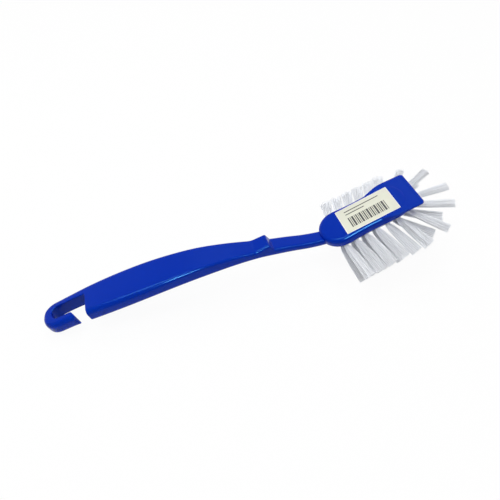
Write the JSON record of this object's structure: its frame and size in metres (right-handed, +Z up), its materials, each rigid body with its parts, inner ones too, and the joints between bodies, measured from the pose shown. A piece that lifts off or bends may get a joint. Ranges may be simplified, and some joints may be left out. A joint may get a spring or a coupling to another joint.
{
  "type": "dish brush",
  "caption": "Dish brush with a curved moulded plastic handle and head, a pan rest, a scraper edge, a hanging hook, and splayed bristle tufts along both sides and the front.",
  "frame": {"origin": "middle of the bounding box at the level surface that the brush lies on, which its hook end and rear bristle tips touch", "axes": "+Z up from that surface, +X from the hook end towards the scraper, +Y towards the side away from the hook's mouth"},
  "size_m": [0.2776, 0.0764, 0.0519],
  "materials": {
    "body": "gloss, moulded",
    "label": "matt, printed",
    "bristle": "satin",
    "anchor": "drawn wire"
  },
  "bodies": {
    "root": {"moulded_body": "body", "label": "label", "tuft_near_1": "bristle", "tuft_near_2": "bristle", "tuft_near_3": "bristle", "tuft_near_4": "bristle", "tuft_near_5": "bristle", "tuft_near_6": "bristle", "tuft_far_1": "bristle", "tuft_far_2": "bristle", "tuft_far_3": "bristle", "tuft_far_4": "bristle", "tuft_far_5": "bristle", "tuft_far_6": "bristle", "tuft_front_1": "bristle", "tuft_front_2": "bristle", "tuft_front_3": "bristle", "tuft_front_4": "bristle", "tuft_front_5": "bristle", "tuft_inner_near_1": "bristle", "tuft_inner_near_2": "bristle", "tuft_inner_near_3": "bristle", "tuft_inner_near_4": "bristle", "tuft_inner_near_5": "bristle", "tuft_inner_near_6": "bristle", "tuft_inner_far_1": "bristle", "tuft_inner_far_2": "bristle", "tuft_inner_far_3": "bristle", "tuft_inner_far_4": "bristle", "tuft_inner_far_5": "bristle", "tuft_inner_far_6": "bristle", "anchor_near_1": "anchor", "anchor_near_2": "anchor", "anchor_near_3": "anchor", "anchor_near_4": "anchor", "anchor_near_5": "anchor", "anchor_near_6": "anchor", "anchor_far_1": "anchor", "anchor_far_2": "anchor", "anchor_far_3": "anchor", "anchor_far_4": "anchor", "anchor_far_5": "anchor", "anchor_far_6": "anchor", "anchor_front_1": "anchor", "anchor_front_2": "anchor", "anchor_front_3": "anchor", "anchor_front_4": "anchor", "anchor_front_5": "anchor", "anchor_inner_near_1": "anchor", "anchor_inner_near_2": "anchor", "anchor_inner_near_3": "anchor", "anchor_inner_near_4": "anchor", "anchor_inner_near_5": "anchor", "anchor_inner_near_6": "anchor", "anchor_inner_far_1": "anchor", "anchor_inner_far_2": "anchor", "anchor_inner_far_3": "anchor", "anchor_inner_far_4": "anchor", "anchor_inner_far_5": "anchor", "anchor_inner_far_6": "anchor"}
  },
  "joints": []
}
